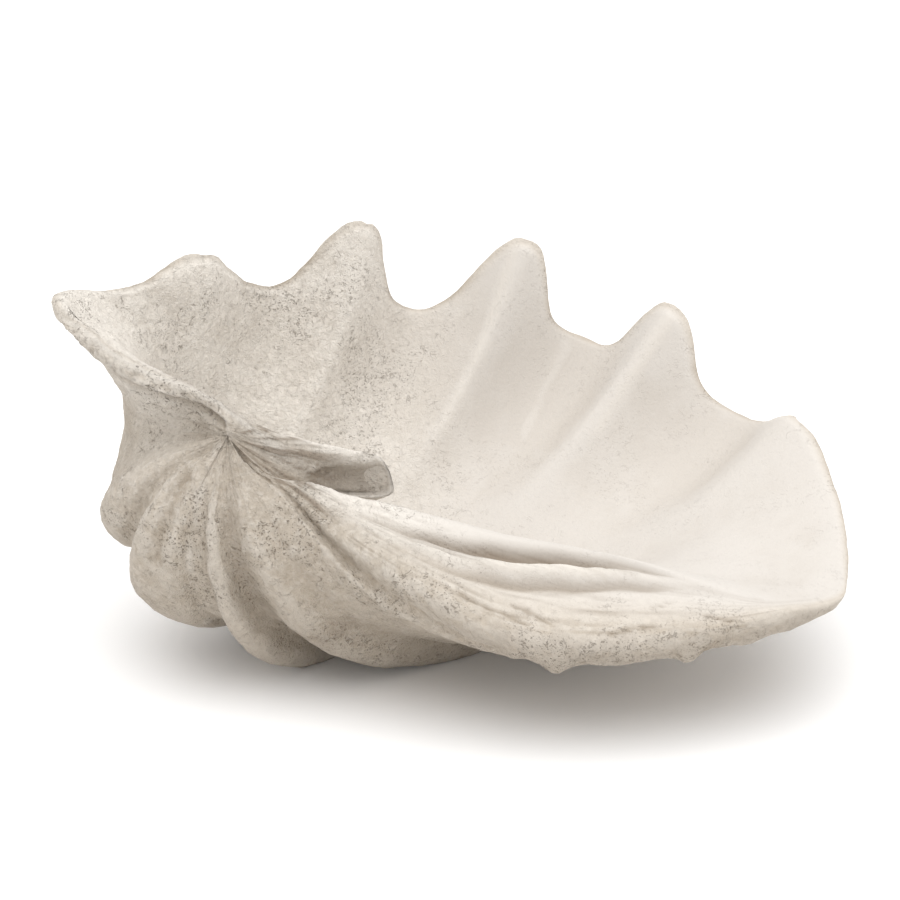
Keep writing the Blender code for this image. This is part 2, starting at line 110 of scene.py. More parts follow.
# Growth by station: coil rate at the rim, coil rate at the beak, sideways spread,
# sideways shift (mm) and the share of the coil that the rib follows.
GROWTH = (
    ("left_end", (0.30, 1.4, 1.5, 20, 0.25)),
    ("tooth_1", (0.27, 1.4, 2.1, 34, 0.80)),
    ("tooth_2", (0.45, 1.4, 1.9, 40, 1.0)),
    ("tooth_3", (0.545, 1.4, 1.0, 20, 1.0)),
    ("tooth_4", (0.67, 1.4, 1.15, 0, 1.0)),
    ("tooth_5", (0.80, 1.4, 1.5, 0, 1.0)),
    ("right_end", (0.80, 1.4, 1.2, 0, 0.95)),
    ("corner", (0.80, 1.4, 1.0, 0, 0.75)),
)

# Ribs: the grooves between them lie at these stations, the arch heights in between.
GROOVES = ("left_end", "tooth_1", "tooth_2", "tooth_3", "tooth_4", "tooth_5", "corner")
ARCH = (
    ("left_end", 3), ("left_scallop", 8), ("valley_1", 22), ("valley_2", 26), ("valley_3", 27),
    ("valley_4", 26), ("valley_5", 10), ("right_end", 6), ("corner", 4),
)

# On the young shell, up to these scales, the ribs are lopsided: where each crest lies across its rib,
# and how far the grooves drift along the rim (in stations).
YOUNG_SHELL = (0.55, 0.95)
YOUNG_START = (-0.05, 0.28)
CREST_PLACES = (0.3, 0.42, 0.24, 0.34, 0.42, 0.5)
CREST_SHARPNESS = 1.2
YOUNG_HEIGHTS = (1.0, 1.0, 1.0, 1.0, 0.75, 0.25)
GROOVE_DRIFT = (
    ("left_end", 0.0), ("tooth_1", -0.30), ("tooth_2", -0.25), ("tooth_3", 0.52), ("tooth_4", 0.10),
    ("corner", 0.0),
)

# How full the arches are at the rim, and how round the crests of the flutes inside.
RIM_FULLNESS = 0.75
FLUTE_ROUNDING = (("left_end", 0.3), ("tooth_3", 0.15), ("tooth_4", 0.15), ("tooth_5", 0.9), ("corner", 0.9))

# The flutes inside fade out between these scales.
FLUTE_FADE = (0.68, 1.02)

# The ribs stand out more near the umbo, and no more past this scale.
YOUNG_RELIEF = 1.0
RELIEF_LIMIT = 1.1

# Scales of the sheets: count and power up to the rim, those beyond it, and the two rows that give
# the step at the rim.
SCALE_COUNT = 100
SCALE_POWER = 1.5
SCALES_BEYOND = (1.05, 1.1, 1.2, 1.3, 1.5, 1.8)
RIM_STEP = (97, 101)

# Scallop teeth: station, height, width of the left and right flank (in stations).
TEETH = (
    ("tooth_1", 13, 0.42, 0.36),
    ("tooth_2", 46, 0.50, 0.36),
    ("tooth_3", 54, 0.50, 0.34),
    ("tooth_4", 45, 0.46, 0.40),
    ("tooth_5", 8, 0.60, 0.60),
)
TOOTH_SHARPNESS = 2.0

# Wall thickness at the plain rim and at the belly, and the scales between which it changes.
RIM_WALL = 9.0
BELLY_WALL = 12.0
WALL_CHANGE = (0.75, 1.0)

# Ridges and grooves along the hinge plate: for each station the place across the plate
# (0 at the lip crest, 1 at the inner crest) and the height or depth (mm). PLATE_LINES adds which of
# them stand up (1) or sink in (-1), and their half width across the plate.
LATERAL_TOOTH = (
    ("corner", 0.96, 0), ("lip_2", 0.95, 0.5), ("lip_3", 0.91, 3.5), ("lip_4", 0.83, 5), ("lip_5", 0.76, 5),
    ("lip_6", 0.64, 3.5), ("lip_7", 0.52, 1.5), ("lip_8", 0.48, 0),
)
DEEP_GROOVE = (
    ("corner", 0.98, 0), ("lip_2", 0.975, 0.5), ("lip_3", 0.955, 4), ("lip_4", 0.915, 7), ("lip_5", 0.885, 7),
    ("lip_6", 0.82, 5), ("lip_7", 0.74, 2), ("lip_8", 0.70, 0),
)
LOWER_GROOVE = (
    ("corner", 0.92, 0), ("lip_2", 0.90, 1), ("lip_3", 0.82, 3.5), ("lip_4", 0.72, 4), ("lip_5", 0.63, 3.5),
    ("lip_6", 0.50, 1.5), ("lip_7", 0.42, 0), ("lip_8", 0.40, 0),
)
PLATE_LINES = ((LATERAL_TOOTH, 1, 0.04), (DEEP_GROOVE, -1, 0.045), (LOWER_GROOVE, -1, 0.06))

# Places across the band where the plate and its ridges start, and the share of rows outside each.
PLATE_START = 0.5
RIDGE_START = 0.72
PLATE_START_ROW = 0.28
RIDGE_START_ROW = 0.48

# How far a plain rim bulges for its width, and how much more the plate's crest pulls.
BAND_BULGE = 0.5
PLATE_PULL = 0.8

# Directions along the rim loop are taken over this share of it.
LOOP_SHARE = 70

# Hollow in the front of the tongue: foot and head (x, z) of its slanting edge, its start and end along x,
# its depth, how far from the crevice it is that deep, and its end across the band.
HOLLOW_EDGE = ((41, -27), (60, -14))
HOLLOW_START = (-1.5, 4.0)
HOLLOW_END = (84, 96)
HOLLOW_DEPTH = 6.0
HOLLOW_REACH = 30.0
HOLLOW_CREST = 0.96

# The inner sheet follows the outer one down to this scale, and closes to the crevice from there.
INNER_START = 0.34

# The inner sheet is drawn to the rim's crest from this scale on.
RIM_REACH = 0.8

# Under the tongue: depth of the hollow, how far its back stands behind its front, and at which scales.
UNDERCUT = 16.0
TONGUE_BACK = 10.0
UNDERCUT_SCALES = (-0.004, 0.012, 0.12, 0.40)

# Power that keeps the pull to the hinge-side edges near them.
EDGE_POWER = 1.5

# Smoothing of the bowl's floor: reach (in scale, in stations), scales, and reaches kept from the edges.
FLOOR_REACH = (0.06, 0.5)
FLOOR_SCALES = (0.0, 0.1, 0.55, 0.8)
FLOOR_EDGE = 2.2


def station_index(name):
    """Number of a station round the rim."""
    return NAMES.index(name)


def ease(x, low, high):
    """Smooth step from 0 at low to 1 at high."""
    t = np.clip((x - low) / (high - low), 0.0, 1.0)
    return t * t * (3.0 - 2.0 * t)


def window(x, low, high, fall, end):
    """Smooth step up from low to high, and down again from fall to end."""
    return ease(x, low, high) * (1 - ease(x, fall, end))


def bell(x, middle, width):
    return np.exp(-((x - middle) / width) ** 2)


def blend(u, pairs):
    """Values given at named stations, read with smooth steps between them."""
    xs = np.array([station_index(name) for name, _ in pairs], float)
    ys = np.array([np.atleast_1d(value) for _, value in pairs], float)
    i = np.clip(np.searchsorted(xs, u, side="right") - 1, 0, len(xs) - 2)
    s = ease(u, xs[i], xs[i + 1])[:, None]
    return ys[i] * (1.0 - s) + ys[i + 1] * s


def loop_curve(points, u):
    """Closed smooth curve through the station points."""
    count = len(points)
    i = np.floor(u + 1e-9).astype(int)
    t = np.clip(u - i, 0.0, 1.0)[:, None]

    def tangent(j):
        ahead = points[(j + 1) % count] - points[j % count]
        behind = points[j % count] - points[(j - 1) % count]
        a = np.linalg.norm(ahead, axis=-1, keepdims=True)
        b = np.linalg.norm(behind, axis=-1, keepdims=True)
        return (ahead * b / a + behind * a / b) / (a + b)

    start = points[i % count]
    end = points[(i + 1) % count]
    length = np.linalg.norm(end - start, axis=-1, keepdims=True)
    m0 = tangent(i) * length
    m1 = tangent(i + 1) * length
    t2 = t * t
    t3 = t2 * t
    return (2 * t3 - 3 * t2 + 1) * start + (t3 - 2 * t2 + t) * m0 + (3 * t2 - 2 * t3) * end + (t3 - t2) * m1


def rim_points():
    """Outer edge, middle crest and inner crest of every station in metres, and 1 where it has a plate."""
    outer, middle, inner = (
        np.array([station[k] or station[1] for station in STATIONS], float) * MM for k in (1, 2, 3)
    )
    plate = np.array([0.0 if station[2] is None else 1.0 for station in STATIONS])
    return outer, middle, inner, plate


def column_places(outer):
    """Columns spread along the scalloped rim, closer together at the teeth."""
    last = station_index("corner")
    dense = np.linspace(0, last, COLUMN_SAMPLES)
    curve = loop_curve(outer, dense)
    step = np.linalg.norm(np.diff(curve, axis=0), axis=1)
    middle = (dense[1:] + dense[:-1]) / 2
    weight = step / step.mean() + COLUMN_EVEN + TOOTH_CROWDING * tooth_reach(middle) / CROWDED_TOOTH
    total = np.concatenate([[0.0], np.cumsum(weight)])
    return np.interp(np.linspace(0, 1, COLUMNS + 1), total / total[-1], dense)


def tooth_reach(u):
    """How far the scallop teeth stand out at each u (mm)."""
    reach = np.zeros_like(u)
    for name, height, left, right in TEETH:
        offset = u - station_index(name)
        width = np.where(offset < 0, left, right)
        reach = reach + height * np.exp(-np.abs(offset / width) ** TOOTH_SHARPNESS)
    return reach


def arch_phase(u):
    """Rib number and place across the rib (0 to 1) of each u."""
    places = np.array([station_index(name) for name in GROOVES], float)
    rib = np.clip(np.searchsorted(places, u, side="right") - 1, 0, len(places) - 2)
    return rib, np.clip((u - places[rib]) / (places[rib + 1] - places[rib]), 0.0, 1.0)


def flute_wave(phase, rounding):
    """Arch between two flutes with rounded crests, 0 at both."""
    wave = np.sqrt(np.sin(math.pi * phase) ** 2 + rounding ** 2) - rounding
    return wave / (np.sqrt(1 + rounding ** 2) - rounding)


def rib_wave(u, scale):
    """Height of the ribs over the grid: lopsided with soft grooves on the young shell, arched at the rim."""
    young = (1 - ease(scale, *YOUNG_SHELL))[:, None]
    rib, phase = arch_phase(u[None, :] - blend(u, GROOVE_DRIFT)[None, :, 0] * young)
    crest = np.array(CREST_PLACES)[rib]
    lopsided = np.where(phase < crest, ease(phase / crest, 0.0, 1.0), 1 - ease(phase, crest, 1.0))
    lopsided = lopsided ** CREST_SHARPNESS * np.array(YOUNG_HEIGHTS)[rib]
    return lopsided * young + np.sin(math.pi * phase) ** RIM_FULLNESS * (1 - young)


def growth_sheet(u, scale, outer):
    """Coiled sheet from the umbo (scale 0) to the rim (scale 1) and beyond."""
    axis = np.array(AXIS) / np.linalg.norm(AXIS)
    edge = loop_curve(outer, u)
    law = blend(u, GROWTH)
    along = edge @ axis
    across = edge - along[:, None] * axis
    side = np.cross(axis, across)
    turn = np.linspace(0.0, COIL_END, COIL_STEPS)
    sheet = np.empty((len(scale), len(u), 3))
    for j in range(len(u)):
        rim_rate, beak_rate, spread, shift, share = law[j]
        rate = rim_rate + (beak_rate - rim_rate) * ease(turn, *COIL_CHANGE)
        shrink = np.concatenate([[0.0], np.cumsum((rate[1:] + rate[:-1]) / 2 * np.diff(turn))])
        inside = np.clip(scale, 1e-4, 1.0)
        angle = np.interp(-np.log(inside), shrink, turn) * share
        angle = angle - TURN_SOFTNESS * np.log1p(np.exp((angle - TURN_LIMIT) / TURN_SOFTNESS))
        angle = np.where(scale > 1, -np.log(np.maximum(scale, 1e-4)) / rim_rate * share, angle)
        distance = scale * along[j] * (1 + (spread - 1) * (1 - inside))
        distance = distance - shift * MM * scale * (1 - inside)
        swing = across[j] * np.cos(angle)[:, None] - side[j] * np.sin(angle)[:, None]
        sheet[:, j] = distance[:, None] * axis + scale[:, None] * swing
    return sheet


def sheet_normals(sheet):
    down = np.gradient(sheet, axis=0)
    across = np.gradient(sheet, axis=1)
    normal = np.cross(down, across)
    return normal / np.maximum(np.linalg.norm(normal, axis=2, keepdims=True), 1e-12)


def lookup(table, scale, places):
    """Columns of a table read at each column's own scales."""
    result = np.empty(places.shape + (3,))
    for j in range(places.shape[1]):
        for k in range(3):
            result[:, j, k] = np.interp(places[:, j], scale, table[:, j, k])
    return result


def edge_stations(scale, places, past):
    """Station numbers of the points along a hinge-side edge."""
    pairs = [(place, station_index(name)) for name, place in places] + ([(1.0, PERIOD)] if past else [])
    return np.interp(scale, *np.array(sorted(pairs), float).T)


def soften(sheet, scale, u):
    """Sheet with its middle smoothed out and its edges kept."""
    reach_scale, reach_u = FLOOR_REACH
    rows = np.exp(-((scale[:, None] - scale[None, :]) / reach_scale) ** 2)
    rows = rows * np.gradient(scale)[None, :]
    rows = rows / rows.sum(1, keepdims=True)
    columns = np.exp(-((u[:, None] - u[None, :]) / reach_u) ** 2)
    columns = columns * np.gradient(u)[None, :]
    columns = columns / columns.sum(1, keepdims=True)
    soft = np.einsum("ab,bcd->acd", rows, sheet)
    soft = np.einsum("ab,cbd->cad", columns, soft)
    clear = FLOOR_EDGE * reach_u
    along = ease(u, u[0], u[0] + clear) * ease(-u, -u[-1], -u[-1] + clear)
    share = window(scale, *FLOOR_SCALES)[:, None, None] * along[None, :, None]
    return sheet * (1 - share) + soft * share


def rib_sheet(u, scale, outer):
    """Coiled sheet with both hinge-side edges drawn to the stations, and its normals."""
    base = growth_sheet(u, scale, outer)
    inside = np.minimum(scale, 1.0)
    lip = loop_curve(outer, edge_stations(inside, LIP_PLACES, False))
    hinge = loop_curve(outer, edge_stations(inside, HINGE_PLACES, True))
    up_to_rim = np.minimum(np.arange(len(scale)), np.searchsorted(scale, 1.0))
    near_lip = ease(u, station_index("tooth_5") - 0.9, station_index("corner")) ** EDGE_POWER
    near_hinge = 1 - ease(u, station_index("left_end"), station_index("tooth_1"))
    base = draw_edges(base, lip, hinge, near_lip, near_hinge, up_to_rim)
    return base, sheet_normals(base)


def round_loop(grid, umbo):
    """Values of a grid along the rim, down the lip, over the umbo and up the hinge."""
    return np.concatenate([grid[-1], grid[-2::-1, -1], umbo, grid[:-1, 0]])


def draw_edges(sheet, lip, hinge, near_lip, near_hinge, rows=slice(None)):
    """Sheet with both hinge-side edges drawn to these points."""
    lip_pull = lip - sheet[rows, -1]
    hinge_pull = hinge - sheet[rows, 0]
    sheet = sheet + lip_pull[:, None, :] * near_lip[None, :, None]
    return sheet + hinge_pull[:, None, :] * near_hinge[None, :, None]


def shell_points():
    """Outer sheet, rim band and inner sheet of the shell, the inner pole and the loop's stations."""
    outer, middle, inner, plate = rim_points()
    u = column_places(outer)
    scale = np.concatenate([np.linspace(0, 1, SCALE_COUNT + 1)[1:] ** SCALE_POWER, SCALES_BEYOND])
    base, normal = rib_sheet(u, scale, outer)
    arch = blend(u, ARCH)[:, 0] * MM
    relief = np.minimum(scale, RELIEF_LIMIT) * (1 + YOUNG_RELIEF * np.maximum(1 - scale, 0.0))
    relief = relief * ease(scale, *YOUNG_START)
    ribbed = base + normal * (arch[None, :] * rib_wave(u, scale) * relief[:, None])[:, :, None]
    low, high = RIM_STEP
    rim_step = np.linalg.norm(ribbed[high] - ribbed[low], axis=1) / (scale[high] - scale[low])
    end = 1 + tooth_reach(u) * MM / rim_step
    rows = (np.arange(1, ROWS + 1) / ROWS) ** ROW_POWER
    stretch = 1 + (end - 1)[None, :] * ease(rows, 0.0, 1.0)[:, None]
    outside = lookup(ribbed, scale, rows[:, None] * stretch)
    # wall laid inside, with flutes that fade to the floor
    flutes = np.minimum(scale, RELIEF_LIMIT) * ease(scale, *FLUTE_FADE)
    crease = arch * flute_wave(arch_phase(u)[1], blend(u, FLUTE_ROUNDING)[:, 0])
    wall = BELLY_WALL + (RIM_WALL - BELLY_WALL) * ease(scale, *WALL_CHANGE)
    lining = base + normal * (crease[None, :] * flutes[:, None] - wall[:, None] * MM)[:, :, None]
    inside = lookup(lining, scale, rows[:, None] * stretch)
    # crests of the loop
    lip = edge_stations(rows, LIP_PLACES, False)
    hinge = edge_stations(rows, HINGE_PLACES, True)
    stations = np.concatenate([u, lip[-2::-1], [station_index("crevice")], hinge[:-1]])
    umbo = np.zeros((1, 3))
    edge = round_loop(outside, umbo)
    plain = round_loop(inside, umbo)
    share = np.interp(stations, np.arange(PERIOD + 1), np.append(plate, plate[0]))
    share = ease(share, 0.0, 1.0)[:, None]
    crest = loop_curve(inner, stations) * share + plain * (1 - share)
    # band across the rim
    f = band_places()
    stride = max(1, len(edge) // LOOP_SHARE)
    tangent = np.roll(edge + crest, -stride, 0) - np.roll(edge + crest, stride, 0)
    chord = crest - edge
    bulge = np.cross(tangent, chord)
    bulge = bulge / np.maximum(np.linalg.norm(bulge, axis=1, keepdims=True), 1e-9)
    plain_mid = (edge + crest) / 2 - bulge * np.linalg.norm(chord, axis=1, keepdims=True) * BAND_BULGE
    mid = loop_curve(middle, stations) * share + plain_mid * (1 - share)
    weight = 1.0 + PLATE_PULL * share
    pull = (mid * (2 + 2 * weight) - edge - crest) / (2 * weight)
    ff = f[:, None, None]
    band = (1 - ff) ** 2 * edge + 2 * weight * ff * (1 - ff) * pull + ff ** 2 * crest
    band = band / ((1 - ff) ** 2 + 2 * weight * ff * (1 - ff) + ff ** 2)
    band = band + plate_up(mid, crest)[None] * plate_lift(stations, f)[:, :, None] * MM
    band[:, :, 1] += tongue_hollow(band, stations, f)
    # inner sheet: closes to the crevice, its edges drawn to the crests
    pole = loop_curve(inner, np.array([float(station_index("crevice"))]))[0]
    first = int(np.sum(rows < INNER_START))
    ring = inside[first]
    for i in range(first):
        q = rows[i] / rows[first]
        inside[i] = pole + (ring - pole) * q
    lip_crest = crest[COLUMNS:COLUMNS + ROWS][::-1]
    hinge_crest = np.concatenate([crest[COLUMNS + ROWS + 1:], crest[:1]])
    near_lip = ease(u, station_index("valley_4"), station_index("corner")) ** EDGE_POWER
    near_hinge = (1 - ease(u, station_index("left_end"), station_index("tooth_1"))) ** EDGE_POWER
    inside = draw_edges(inside, lip_crest, hinge_crest, near_lip, near_hinge)
    undercut = near_hinge * (1 - near_hinge) * 4
    shallow = window(rows, *UNDERCUT_SCALES)
    behind = shallow[:, None] * undercut[None, :] * MM
    inside[:, :, 1] += TONGUE_BACK * behind
    inside[:, :, 2] -= UNDERCUT * behind
    rim_pull = crest[:COLUMNS + 1] - inside[-1]
    inside = inside + rim_pull[None] * ease(rows, RIM_REACH, 1.0)[:, None, None]
    inside = soften(inside, rows, u)
    return outside, band, inside, pole, stations


def band_places():
    """Places across the rim band (0 outside to 1 inside), closer together on the hinge plate."""
    even = np.linspace(0, 1, BAND_ROWS + 2)[1:-1]
    return np.interp(even, (0.0, PLATE_START_ROW, RIDGE_START_ROW, 1.0), (0.0, PLATE_START, RIDGE_START, 1.0))


def plate_lift(stations, f):
    """Height of the hinge plate's ridges (above 0) and grooves (below 0) in millimetres."""
    lift = np.zeros((len(f), len(stations)))
    across = (f[:, None] - PLATE_START) / (1 - PLATE_START)
    for line, sign, width in PLATE_LINES:
        place = blend(stations, tuple((name, where) for name, where, _ in line))[:, 0]
        height = blend(stations, tuple((name, high) for name, _, high in line))[:, 0]
        lift = lift + sign * height * bell(across, place, width)
    return lift


def tongue_hollow(band, stations, f):
    """Depth of the hollow in the front of the tongue, past a slanting edge."""
    x = band[:, :, 0] / MM
    z = band[:, :, 2] / MM
    foot, head = HOLLOW_EDGE
    up = np.clip((z - foot[1]) / (head[1] - foot[1]), 0.0, 1.0)
    edge = foot[0] + (head[0] - foot[0]) * up
    tip = station_index("tongue_tip")
    crest = station_index("tongue_top")
    front = window(stations, tip - 1.0, tip - 0.85, tip + 0.45, crest - 0.1)
    depth = ease(x - edge, *HOLLOW_START) * (1 - ease(x, *HOLLOW_END)) * front[None, :]
    crevice = np.array(STATIONS[station_index("crevice")][3]) * MM
    depth = depth * ease(np.linalg.norm(band - crevice, axis=2) / MM, 0.0, HOLLOW_REACH)
    return depth * (1 - ease(f, HOLLOW_CREST, 1.0))[:, None] * HOLLOW_DEPTH * MM


def plate_up(mid, crest):
    """Direction that stands up from the hinge plate."""
    stride = max(1, len(mid) // LOOP_SHARE)
    along = np.roll(mid, -stride, 0) - np.roll(mid, stride, 0)
    up = np.cross(along, crest - mid)
    return -up / np.maximum(np.linalg.norm(up, axis=1, keepdims=True), 1e-9)


# The frame's origin, measured from the umbo.
ORIGIN = (125.25, 61.9, -FLOOR_DROP)

# Relief of the surface: wavelength and height (mm), octaves, and which part of the noise it takes.
SWELL = (42.0, 0.9, 3, 3.0)
LUMPS = (11.0, 0.55, 4, 11.0)
GRIT = (4.5, 0.24, 3, 23.0)

# The bowl gets smooth between these x (mm) by this share, and keeps this share of the swell.
SMOOTH_BOWL = (40, 150)
SMOOTH_SHARE = 0.85
SMOOTH_SWELL = 0.35

# Ragged rim on the hinge side: height of the rolled edge (mm), its middle and half width across the band,
# how ragged it is; depth of the groove under it (mm), its middle, half width and reach in columns.
ROLLED_EDGE = 3.2
ROLLED_PLACE = (0.14, 0.16)
ROLLED_RAGGED = (0.7, 0.9)
UNDER_EDGE = 3.6
UNDER_PLACE = (3.0, 2.2)
UNDER_COLUMNS = 12

# Streaks that run together at the umbo: height and reach (mm), number and length.
STREAK_RELIEF = 0.8
STREAK_REACH = (20.0, 80.0)
STREAK_COUNT = 9.0
STREAK_LENGTH = 0.012

# Brown of the streaks: reach near the umbo (mm), x and z (mm) of the wedge below the hinge's rim, and the
# tone of both.
STREAK_NEAR = (12.0, 75.0)
WEDGE_X = (-4.0, 6.0, 45.0, 80.0)
WEDGE_Z = (-40.0, -28.0, 0.0, 8.0)
STREAK_NEAR_TONE = 0.11
WEDGE_TONE = 0.75

# Knobs on the lower edge of the lip: station, width (in stations), height (mm), and their reach over
# the band and the columns behind it.
KNOBS = ((16.9, 0.20, 6.0), (15.1, 0.14, 6.5), (14.4, 0.10, 2.2), (17.6, 0.14, 2.2), (16.0, 0.3, 1.5))
KNOB_ROWS = 0.12
KNOB_COLUMNS = 4.0

# Single marks on the surface: course (mm from the umbo), half width and height (mm), and how much
# of it is darkened (below 0) or lightened (above 0): the wide dark marks are painted shade in the rib
# grooves, the light marks painted highlights on a rib's worn crest and on the flutes inside, the small dark
# marks darker chips along the lip.
MARKS = (
    (((-22, -20, -14), (-27, -26, -23), (-35, -31, -43), (-38, -31, -51), (-39, -29, -60)), 4.2, -2.6, -0.22),
    (((-5, -5, -4), (-15, -26, -25), (-21, -30, -61), (-14, 6, -113)), 2.6, 0.9, 0.55),
    (((162, 219, 47), (152, 208, 20), (137, 191, -19), (117, 168, -57)), 4.0, 0.8, 0.35),
    (((253, 194, 5), (236, 184, -20), (211, 164, -55)), 4.0, 0.8, 0.35),
    (((192, 219, -21), (180, 205, -43), (167, 186, -63)), 2.6, 0.9, 0.2),
    (((127, -81, -59), (145, -90, -66)), 1.1, -1.3, -0.45),
    (((154, -87, -63), (166, -94, -66), (177, -100, -70)), 1.1, -1.3, -0.45),
    (((150, -92, -66), (163, -99, -70)), 1.0, -1.0, -0.30),
    (((207, -103, -73), (218, -100, -71), (227, -98, -71)), 1.2, -1.4, -0.60),
    (((222, -90, -66), (237, -82, -65)), 1.0, -1.0, -0.30),
    (((240, -98, -76), (252, -96, -76)), 1.0, -1.0, -0.35),
    (((256, -86, -70), (271, -88, -72)), 1.2, -1.4, -0.60),
    (((287, -64, -70), (291, -72, -69)), 1.0, -0.8, -0.35),
    (((275, -89, -75), (280, -87, -78)), 1.1, -1.2, -0.50),
    (((-7, -5, -3), (-38, -7, -21), (-52, -1, -44), (-59, 15, -64)), 4.0, -0.6, -0.26),
    (((5, -21, -12), (4, -35, -35), (8, -34, -67), (23, -27, -91), (45, -34, -106)), 6.0, -0.5, -0.20),
    (((52, -36, -108), (66, -32, -97)), 9.0, -0.3, -0.36),
)
MARK_WANDER = 1.1

# Fine lines along the hinge plate: height (mm), number across and along it, and darkness.
PLATE_FIBRES = 0.45
FIBRES_ACROSS = 26.0
FIBRES_ALONG = 0.55
FIBRE_STAIN = 0.35

# How far the outside just behind the lip is drawn up (mm), in which rows and columns from the lip.
LIP_LIFT = 5.0
LIFT_ROWS = (0.45, 0.7, 0.88, 1.0)
LIFT_COLUMNS = (0, 8, 18, 45)

# Fullness of the flank below the left end: middle, reach and height (mm). It is worn white beside that.
FLANK = ((-65, 30, 20), 30.0, 7.0)
FLANK_WORN = 0.75
FLANK_WORN_OFFSET = (-18.0, 6.0, 14.0)

# Passes that round off the inner edge of the plain rim, and how many rows of the bowl they reach.
RIM_PASSES = 14
RIM_ROWS = 8

# Share of its way to its neighbours' mean that a pass of smoothing moves a point.
PASS_SHARE = 0.6

# Fine and broad hollows of the surface: passes of smoothing, and the depth (mm) that counts as full. They get
# painted shade.
FINE_HOLLOW = (8, 0.45)
BROAD_HOLLOW = (60, 1.2)

# Paint of the hinge side: depth (mm) at which a groove gets its full painted shade, height (mm) at which a
# ridge gets its full painted highlight and how strong that is, middle and half width of the worn rim, painted
# shade on the lip's face, painted shadow in the groove under the rim (middle, half width and reach in
# columns) and painted shade in the tongue's hollow.
GROOVE_SHADE_DEPTH = 6.0
RIDGE_HIGHLIGHT_HEIGHT = 4.0
RIDGE_HIGHLIGHT = 0.8
WORN_RIM = (0.40, 0.26)
FACE_PAINTED_SHADE = 0.20
UNDER_RIM_SHADOW = 0.6
UNDER_SHADOW_PLACE = (3.0, 2.0)
UNDER_SHADOW_COLUMNS = 9
TONGUE_HOLLOW_SHADE = 0.42

# Camera: tilt (degrees), distance (m), target (mm from the umbo), scale, side in pixels, sensor (mm).
CAMERA_TILT = 20.0
CAMERA_DISTANCE = 1.9
CAMERA_TARGET = (121.7, 60.0, -29.5)
PIXELS_PER_METRE = 1760.0
IMAGE_SIDE = 900
SENSOR = 36.0


class Layout:
    """Where the parts of the shell lie among the mesh's points, with the umbo first."""

    def __init__(self, stations):
        sheet = ROWS * (COLUMNS + 1)
        self.stations = stations
        self.loop = len(stations)
        self.outside = slice(1, 1 + sheet)
        self.band = slice(1 + sheet, 1 + sheet + BAND_ROWS * self.loop)
        self.pole = self.band.stop
        self.inside = slice(self.pole + 1, self.pole + 1 + sheet)
        self.count = self.inside.stop
        self.across = band_places()
        self.rows = np.linspace(1.0 / ROWS, 1.0, ROWS)

    def sheet(self, values, part):
        """View of one sheet's values as a grid of rows and columns."""
        return values[part].reshape(ROWS, COLUMNS + 1)

    def band_values(self, grid):
        """Values that are 0 but for a grid over the rim band."""
        values = np.zeros(self.count)
        values[self.band] = grid.ravel()
        return values


def shell_faces(layout):
    """Faces of both sheets and of the band between them."""
    numbers = np.arange(layout.count)
    grids = [layout.sheet(numbers, part) for part in (layout.outside, layout.inside)]
    outer, inner = (grid.tolist() for grid in grids)
    faces = []
    for j in range(COLUMNS):
        faces.append((0, outer[0][j], outer[0][j + 1]))
        faces.append((layout.pole, inner[0][j + 1], inner[0][j]))
        for i in range(ROWS - 1):
            faces.append((outer[i][j], outer[i + 1][j], outer[i + 1][j + 1], outer[i][j + 1]))
            faces.append((inner[i][j + 1], inner[i + 1][j + 1], inner[i + 1][j], inner[i][j]))
    first, last = (round_loop(grid, [pole]).tolist() for grid, pole in zip(grids, (0, layout.pole)))
    rings = [first, *numbers[layout.band].reshape(BAND_ROWS, layout.loop).tolist(), last]
    for low, high in zip(rings[:-1], rings[1:]):
        for k in range(layout.loop):
            n = (k + 1) % layout.loop
            faces.append((low[k], high[k], high[n], low[n]))
    return faces


def neighbours(faces):
    """Edges of the mesh as two arrays of vertex numbers."""
    pairs = set()
    for face in faces:
        for a, b in zip(face, face[1:] + face[:1]):
            pairs.add((min(a, b), max(a, b)))
    pairs = np.array(sorted(pairs))
    return pairs[:, 0], pairs[:, 1]


def smoothed(values, edges, passes):
    """Values averaged over their neighbours a number of times."""
    first, second = edges
    count = np.zeros(len(values))
    np.add.at(count, first, 1.0)
    np.add.at(count, second, 1.0)
    result = values.copy()
    for _ in range(passes):
        total = np.zeros_like(result)
        np.add.at(total, first, result[second])
        np.add.at(total, second, result[first])
        mean = total / count.reshape((-1,) + (1,) * (result.ndim - 1))
        result = (1 - PASS_SHARE) * result + PASS_SHARE * mean
    return result


def fractal(points, wavelength, octaves, offset):
    """Smooth noise from about -1 to 1 over the points."""
    size = wavelength * MM
    shift = Vector((offset, offset * 0.7, offset * 1.3))
    values = [noise.fractal(Vector(p) / size + shift, 0.6, 2.1, octaves) for p in points.tolist()]
    return np.array(values)


def mesh_normals(mesh):
    normals = np.empty(len(mesh.vertices) * 3, np.float32)
    mesh.vertices.foreach_get("normal", normals)
    return normals.reshape(-1, 3).astype(float)


def roughness_share(points, inner):
    """1 where the surface is rough and pitted, less on the smooth right half of the bowl."""
    x = points[:, 0] / MM
    return 1 - SMOOTH_SHARE * ease(x, *SMOOTH_BOWL) * inner


def rim_share(layout):
    """1 at the inner edge of the plain rim, 0 away from it and along the hinge."""
    corner = station_index("corner")
    plain = 1 - ease(layout.stations, corner - 1.2, corner - 0.3)
    plain = np.maximum(plain, ease(layout.stations, PERIOD - 0.9, PERIOD))
    share = layout.band_values(ease(layout.across, 0.45, 0.8)[:, None] * plain[None, :])
    sheet = layout.sheet(share, layout.inside)
    for back in range(RIM_ROWS):
        sheet[ROWS - 1 - back] = plain[:COLUMNS + 1] * (1 - back / RIM_ROWS)
    return share


